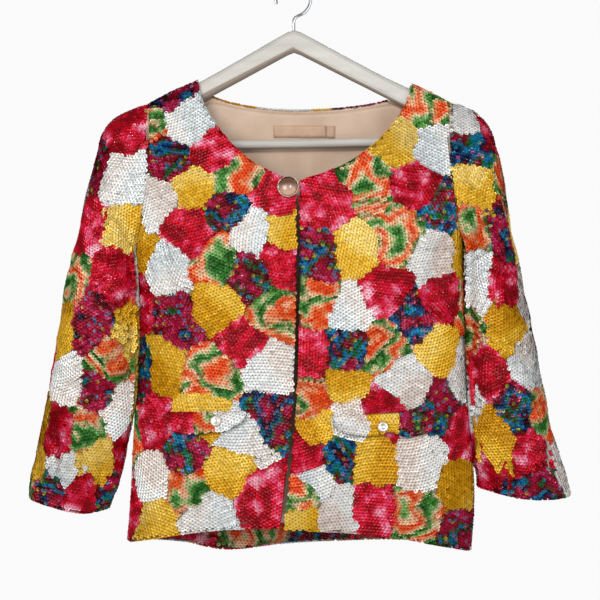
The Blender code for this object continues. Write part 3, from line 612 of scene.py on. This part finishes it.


# %% [markdown]
# Each colouring has its own drawing. Yellow and white are nearly plain: a patch has its own tone and
# turns a little lighter to one side, a painted highlight where its rows would tilt toward the light.
# Pink is blotched like petals. Orange is drawn in bent strokes of green and cream, and the dark one
# has crimson masses broken by blue, green and black.

# %% Colour of a sequin
SHADES = {
    "yellow": ("BE8204", "D0940A", "DEA81E", "E6B83A", "ECC658", "F0D484"),
    "white": ("C6CDD0", "D9DEDF", "E9EBEA", "EAE6E1", "E2D7CF", "D4C0B4"),
    "pink": ("8C0012", "B20018", "CC0020", "D40E38", "DE4068", "EA7C9A", "F4B8C6"),
    "orange": (
        "10400A", "185A10", "3A7E2C", "7CAE62", "EED2B0", "E67840", "DE4C10", "D22C00",
        "DE4C0C", "E88250", "EECAA6", "50903E", "144A0C",
    ),
    "dark": (
        "A80A34", "88041E", "5C0010", "0C0616", "082A5C", "0C74A4", "0C5A28", "4C0010",
        "7A021A", "92042A", "A40836", "B42A5C",
    ),
    "fleck": ("A4AC20", "C84878", "1686AC", "0A0A14"),
}
FLECK_SHARE = 0.1
SHADES = {kind: np.array([linear(code) for code in codes]) for kind, codes in SHADES.items()}


def sequin_colour(kind, point, middle, chance):
    shades = SHADES[kind]
    point, middle = Vector(point), Vector(middle)
    own = middle * 90.0
    tone = (middle.x * 977.0 + middle.z * 613.0) % 1.0
    slow = noise.noise(point * 34.0 + own)
    quick = noise.noise(point * 66.0 + own)
    side = Vector((math.cos(own.z), 0.0, math.sin(own.z)))
    if kind in ("yellow", "white"):
        # One side of each yellow or white patch is painted lighter: a painted highlight where its rows would
        # tilt toward the light.
        level = 0.24 + 0.52 * tone + 0.2 * math.tanh(180.0 * side.dot(point - middle) + 3.0 * slow)
        level += chance.gauss(0.0, 0.1)
    elif kind == "pink":
        level = 0.34 + 0.5 * slow + 0.95 * quick + chance.gauss(0.0, 0.13)
    elif kind == "orange":
        arcs = (point - middle - side * 0.016).length / 0.03 + 0.8 * slow + 0.3 * quick + tone
        level = (arcs + chance.gauss(0.0, 0.04)) % 1.0
    else:
        level = (0.1 + tone + 0.5 * quick + 0.55 * slow + chance.gauss(0.0, 0.03)) % 1.0
    place = min(max(level, 0.0), 0.999) * (len(shades) - 1)
    low = int(place)
    mix = place - low
    if kind == "dark":
        mix = round(mix)
        if chance.random() < FLECK_SHARE:
            shades, low, mix = SHADES["fleck"], chance.randrange(3), mix
    return (shades[low] * (1.0 - mix) + shades[low + 1] * mix) * chance.uniform(0.84, 1.08)


print(len(KINDS), "colourings")

# %% [markdown]
# ## Laying the sequins
# Sequins come on a thread, each one overlapping the next, and the threads are sewn side by side.
# The script sews the same way: from the middle of a patch it walks over the cloth in steps of one
# row, and from there along the row in steps of one sequin. A tree of the cloth's faces finds the
# surface under each step, so the rows follow every bend. A row ends where its patch or panel ends.

# %% Walk the rows
PITCH = 4.2 * MM
ROW = 3.75 * MM
CLOSEST = 2.4 * MM
HOLE = 3.15 * MM
EDGE_KEEP = 1.2 * MM
SEAM_REACH = 3.0 * MM


def at_front_opening(point):
    return point.y < -0.01 and -0.02 < point.x < 0.02 and point.z < -0.24


def keep_from_edge(point):
    return 0.9 * MM if at_front_opening(point) else EDGE_KEEP


class Sewing:
    """The sequins of one panel: where each is, how it lies, and its colour."""

    def __init__(self, mesh, faces, seed, covers=(), kinds=KINDS):
        self.faces = faces
        self.tree = face_tree(mesh, faces)
        self.covers = covers
        self.middles = spread_patches(faces, seed)
        self.kinds = choose_kinds(self.middles, seed, kinds)
        self.patches = KDTree(len(self.middles))
        for i, middle in enumerate(self.middles):
            self.patches.insert(middle, i)
        self.patches.balance()
        self.border = self.find_border(mesh)
        self.edge = KDTree(len(self.border))
        for i, (spot, _, _) in enumerate(self.border):
            self.edge.insert(spot, i)
        self.edge.balance()
        self.chance = random.Random(seed)
        self.cells = {}
        self.found = []

    def find_border(self, mesh):
        """Spots 1 mm apart all round the sheet's edge, each with its normal and the way off it."""
        users = {}
        for face in self.faces:
            for key in face.edge_keys:
                users.setdefault(key, []).append(face)
        border = []
        for (a, b), faces in users.items():
            if len(faces) > 1:
                continue
            start, end = mesh.vertices[a].co, mesh.vertices[b].co
            normal = faces[0].normal
            off = (end - start).cross(normal).normalized()
            if off.dot(start - faces[0].center) < 0.0:
                off = -off
            parts = max(1, round((end - start).length / MM))
            border += [(start.lerp(end, i / parts), normal, off) for i in range(parts)]
        return border

    def patch_at(self, point, normal):
        return self.patches.find(wavy(point) + normal * FACING_PULL)[1]

    def step(self, point, direction, length):
        """One step over the cloth: the new place, its normal and the direction turned with it."""
        target = point + direction * length
        place, normal, _, gap = self.tree.find_nearest(target)
        if place is None or gap > 0.6 * length:
            return None
        turned = direction - normal * direction.dot(normal)
        if turned.length < 1e-6:
            return None
        return place, normal, turned.normalized()

    def near(self, point, reach):
        cell = [int(c // HOLE) for c in point]
        for i in range(cell[0] - 1, cell[0] + 2):
            for j in range(cell[1] - 1, cell[1] + 2):
                for k in range(cell[2] - 1, cell[2] + 2):
                    for other in self.cells.get((i, j, k), ()):
                        if (other - point).length < reach:
                            return True
        return False

    def covered(self, point, normal):
        """Whether a flap or a button lies so close above that a sequin would touch it."""
        start = point + normal * 0.1 * MM
        return any(cover.ray_cast(start, normal, 2.0 * MM)[0] is not None for cover in self.covers)

    def sew(self, point, normal, direction, patch, reach):
        if self.near(point, reach) or self.edge.find(point)[2] < keep_from_edge(point):
            return
        if self.covered(point, normal):
            return
        cell = tuple(int(c // HOLE) for c in point)
        self.cells.setdefault(cell, []).append(point)
        self.found.append((point, normal, direction, patch))

    def row(self, start, patch, offset, bend):
        for sense in (1.0, -1.0):
            point, normal, direction = start[0], start[1], start[2] * sense
            if sense > 0 and offset:
                moved = self.step(point, direction, offset)
                if moved is None:
                    continue
                point, normal, direction = moved
                start = (point, normal, direction)
            if sense < 0:
                moved = self.step(point, direction, PITCH)
                if moved is None:
                    continue
                point, normal, direction = moved
            misses = 0
            while misses < 3:
                if self.patch_at(point, normal) == patch:
                    self.sew(point, normal, direction * sense, patch, CLOSEST)
                    misses = 0
                else:
                    misses += 1
                turned = direction + normal.cross(direction) * bend * sense
                moved = self.step(point, turned.normalized(), PITCH)
                if moved is None:
                    break
                point, normal, direction = moved

    def fill_patch(self, patch):
        middle = Vector(self.middles[patch])
        place, normal, _, _ = self.tree.find_nearest(middle)
        side = normal.orthogonal().normalized()
        turn = self.chance.uniform(0.0, math.tau)
        down = side * math.cos(turn) + normal.cross(side) * math.sin(turn)
        bend = self.chance.uniform(-0.08, 0.08)
        for sense in (1.0, -1.0):
            point, facing, direction = place, normal, down * sense
            for count in range(11):
                if count or sense > 0:
                    along = facing.cross(direction).normalized() * sense
                    offset = PITCH / 2.0 if count % 2 else 0.0
                    self.row((point, facing, along), patch, offset, bend)
                moved = self.step(point, direction, ROW)
                if moved is None:
                    break
                point, facing, direction = moved

    def fill_holes(self):
        centres, normals, areas = measured(self.faces)
        picked = np.random.default_rng(7).choice(len(areas), 7 * len(areas), p=areas / areas.sum())
        for i in picked:
            reach = max(3.0 * MM, 0.6 * math.sqrt(areas[i]))
            nudge = Vector([self.chance.uniform(-reach, reach) for _ in range(3)])
            point, normal, _, _ = self.tree.find_nearest(Vector(centres[i]) + nudge)
            if point is None or self.near(point, HOLE):
                continue
            side = normal.orthogonal().normalized()
            turn = self.chance.uniform(0.0, math.tau)
            along = side * math.cos(turn) + normal.cross(side) * math.sin(turn)
            self.sew(point, normal, along, self.patch_at(point, normal), HOLE)

    def bind_edges(self, others, over):
        """Two rows over each free edge, and one over each seam with the panels in over."""
        row = []
        for spot, normal, off in self.border:
            if at_front_opening(spot) or any((spot - old).length < 3.5 * MM for old in row):
                continue
            along = normal.cross(off).normalized()
            joined = {n for n, tree in others.items() if tree.find_nearest(spot, SEAM_REACH)[0] is not None}
            if joined & over:
                row.append(spot)
                self.found.append((spot, normal, along, self.patch_at(spot, normal)))
            if joined:
                continue
            row.append(spot)
            facing = (normal * 0.75 + off).normalized()
            place = spot - normal * 0.6 * MM - facing * 0.5 * MM
            self.found.append((place, facing, along, self.patch_at(spot, normal)))
            under = (off - normal * 0.6).normalized()
            place = spot + along * PITCH / 2.0 - normal * 1.5 * MM - under * 0.6 * MM
            self.found.append((place, under, along, self.patch_at(spot, normal)))


# %% [markdown]
# A cup sequin is a shallow dish with a hole in the middle. Eight points round the rim and four
# round the hole are enough, because smooth shading rounds it. All the sequins of a panel become one
# mesh: the same small dish is turned, tilted and moved many times over with arrays of numbers. Each
# one tilts a little along its thread, since it leans on the next, and a few hang loose.

# %% Make one mesh of sequins
RADIUS = 2.6 * MM
CUP = 0.55 * MM
HOLE_RADIUS = 0.75 * MM
LIFT = 0.75 * MM
TILT = 11.0
LOOSE_SHARE = 0.04


def dish():
    """Points and triangles of one sequin, face up, and how bright each point is painted: the points
    round the hole get painted shade of the hollow, with the thread's darker colour.
    """
    points = [(RADIUS * math.cos(k * math.tau / 8), RADIUS * math.sin(k * math.tau / 8), CUP) for k in range(8)]
    points += [(HOLE_RADIUS * math.cos(k * math.tau / 4), HOLE_RADIUS * math.sin(k * math.tau / 4), 0.0) for k in range(4)]
    faces = []
    for k in range(4):
        inner, after = 8 + k, 8 + (k + 1) % 4
        first, second, third = 2 * k, 2 * k + 1, (2 * k + 2) % 8
        faces += [(inner, first, second), (inner, second, after), (after, second, third)]
    # The four points round the hole are painted at 0.6: painted shade in the hollow of the dish, with the
    # thread's darker colour.
    return np.array(points), np.array(faces), np.array([1.0] * 8 + [0.6] * 4)


def build_sequins(name, sewing, seed):
    points, faces, hole_shade_and_thread = dish()
    chance = random.Random(seed)
    turns = []
    places = []
    alongs = []
    colours = []
    for place, normal, along, patch in sewing.found:
        loose = 3.0 if chance.random() < LOOSE_SHARE else 1.0
        tilt = math.radians(-TILT + chance.gauss(0.0, 4.0) * loose)
        roll = math.radians(chance.gauss(0.0, 4.0) * loose)
        across = normal.cross(along).normalized()
        base = Matrix((along, across, normal)).transposed()
        turn = base @ Matrix.Rotation(tilt, 3, "Y") @ Matrix.Rotation(roll, 3, "X")
        turns.append(turn @ Matrix.Rotation(chance.uniform(0.0, 0.78), 3, "Z"))
        places.append(place + normal * (LIFT + chance.uniform(0.0, 0.15 * MM)))
        ends = [place - along * RADIUS, place + along * RADIUS]
        colours.append([
            sequin_colour(sewing.kinds[patch], end, sewing.middles[patch], chance) for end in ends
        ])
        alongs.append(along)
    turns = np.array([[list(row) for row in turn] for turn in turns])
    places = np.array(places)
    count = len(places)
    verts = np.einsum("nij,kj->nki", turns, points) + places[:, None]
    tris = faces[None] + (np.arange(count) * len(points))[:, None, None]
    mesh = bpy.data.meshes.new(name)
    mesh.from_pydata(verts.reshape(-1, 3).tolist(), [], tris.reshape(-1, 3).tolist())
    paint = mesh.color_attributes.new("paint", "FLOAT_COLOR", "POINT")
    rgba = np.ones((count, len(points), 4))
    ends = np.array(colours)
    share = np.einsum("nkj,nj->nk", verts - places[:, None], np.array(alongs)) / (2.0 * RADIUS) + 0.5
    share = share[..., None]
    # The points round the hole are darkened here: painted shade of the dish's hollow, with the thread's darker
    # colour.
    rgba[..., :3] = (ends[:, :1] * (1.0 - share) + ends[:, 1:] * share) * hole_shade_and_thread[None, :, None]
    rgba[..., :3] = np.clip(rgba[..., :3], 0.0, 1.0)
    paint.data.foreach_set("color", rgba.ravel())
    tiles = math.ceil(math.sqrt(count))
    corner = np.stack((np.arange(count) % tiles, np.arange(count) // tiles), axis=1)
    spot = 0.5 + points[faces.ravel(), :2] / RADIUS * 0.42
    flat = (corner[:, None] + spot[None]) / tiles
    mesh.uv_layers.new(name="OFBake").data.foreach_set("uv", flat.ravel())
    mesh.polygons.foreach_set("use_smooth", [True] * len(mesh.polygons))
    mesh.materials.append(sequin_film)
    piece = bpy.data.objects.new(name, mesh)
    bpy.context.collection.objects.link(piece)
    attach(piece, "root")
    return piece


# %% [markdown]
# Sequins stop 1.2 mm short of a seam, so two panels meet without a bare line, and a little more
# where the fronts meet, because that opening shows as a dark line down the jacket. At a hem or a
# cuff the cloth is turned up inside, so a band of sequins shows there as well.

# %% Sew every panel
TURN_UP = {"front_right": 25, "front_left": 26, "back": 27, "sleeve_right": 18, "sleeve_left": 18}
SEAMS_COVERED = {"front_right": {"back"}, "front_left": {"back"}, "back": set()}
sequins = {}
sewn = {}
walls = {name: face_tree(piece.data, piece.data.polygons) for name, piece in cloth.items()}
on_top = {
    "front_right": [walls["pocket_flap_right"], face_tree(setting.data, setting.data.polygons)],
    "front_left": [walls["pocket_flap_left"], face_tree(setting.data, setting.data.polygons)],
}
for side, button in buttons.items():
    on_top[f"pocket_flap_{side}"] = [face_tree(button.data, button.data.polygons)]


def lowest_under(mesh, places):
    """Height of the panel's lower edge below each place, from its lowest points in strips."""
    strips = {}
    for vertex in mesh.vertices:
        strip = round(vertex.co.x / 0.012)
        strips[strip] = min(strips.get(strip, 0.0), vertex.co.z)
    return [strips[min(strips, key=lambda s: abs(s - x / 0.012))] for x in places]


for seed, name in enumerate(PANELS + FLAPS, start=11):
    mesh = cloth[name].data
    outside = [f for f in mesh.polygons if f.material_index == OUTSIDE]
    sewing = Sewing(mesh, outside, seed, on_top.get(name, ()))
    for patch in range(len(sewing.middles)):
        sewing.fill_patch(patch)
    by_rows = len(sewing.found)
    sewing.fill_holes()
    if name in PANELS:
        others = {other: walls[other] for other in PANELS if other != name}
        sewing.bind_edges(others, SEAMS_COVERED.get(name, set(PANELS)))
    sewn[name] = sewing
    sequins[name] = [build_sequins(f"{name}_sequins", sewing, seed)]
    print(name, len(sewing.middles), "patches,", by_rows, "sequins in rows,", len(sewing.found), "in all")
    if name in TURN_UP:
        inside = [f for f in mesh.polygons if f.material_index == INSIDE]
        lows = lowest_under(mesh, [f.center.x for f in inside])
        band = [f for f, low in zip(inside, lows) if f.center.z < low + TURN_UP[name] * MM]
        for face in band:
            face.material_index = RIM
        turned = Sewing(mesh, band, seed + 50, kinds=("dark", "orange", "pink"))
        for patch in range(len(turned.middles)):
            turned.fill_patch(patch)
        turned.fill_holes()
        sequins[name].append(build_sequins(f"{name}_turned_sequins", turned, seed + 50))
        print(name, "turn-up:", len(turned.found), "sequins")

# %% [markdown]
# The cloth shows between the sequins and through their holes. It is dyed in the same patches, but
# it lies in their shadow, so it takes a darker shade of each sequin colour.

# %% Dye the cloth
GROUND_SHADE = 0.3
for name, piece in cloth.items():
    mesh = piece.data
    paint = mesh.color_attributes.new("paint", "FLOAT_COLOR", "POINT")
    chance = random.Random(5)
    colours = np.ones((len(mesh.vertices), 4))
    for vertex in mesh.vertices:
        patch = sewn[name].patch_at(vertex.co, vertex.normal)
        middle = sewn[name].middles[patch]
        shade = sequin_colour(sewn[name].kinds[patch], vertex.co, middle, chance)
        colours[vertex.index, :3] = np.minimum(shade, 1.0) * GROUND_SHADE
    paint.data.foreach_set("color", colours.ravel())
print("cloth dyed")

# %% [markdown]
# ## The lining and its label
# The lining hangs free inside the back. It is smoothed like a panel, then pushed by slow noise that
# is stretched upward, which makes long shallow ripples. It may only come forward, off the cloth.

# %% Lining
lining = smooth_copy("back_lining", "lining_back", 2, "lining_satin", satin)
for vertex in lining.data.vertices:
    ripple = noise.noise(Vector((vertex.co.x * 26.0, 0.0, vertex.co.z * 7.0)))
    vertex.co.y -= max(0.0, 0.4 + ripple) * 0.0016
lining.data.update()

# %% Label and tab
labels = [
    smooth_copy(name, f"{name}_tape", 2, "label_tape", tape) for name in ("neck_label", "size_tab")
]

# %% [markdown]
# ## The hanger
# The arms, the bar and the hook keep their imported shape, which is already right.

# %% Hanger
for node_name, material, slot in (
    ("hanger_arms", paint_with_painted_shade, "painted_wood"),
    ("trouser_bar", white_paint, "painted_wood"),
    ("hook", steel, "steel"),
):
    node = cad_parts[node_name]
    for place in node.material_slots:
        place.material = material

# %% [markdown]
# ## Area of each sheet
# The outside area of each sewn sheet is printed, in square metres.

print(json.dumps({name: round(float(measured(sewing.faces)[2].sum()), 4) for name, sewing in sewn.items()}))
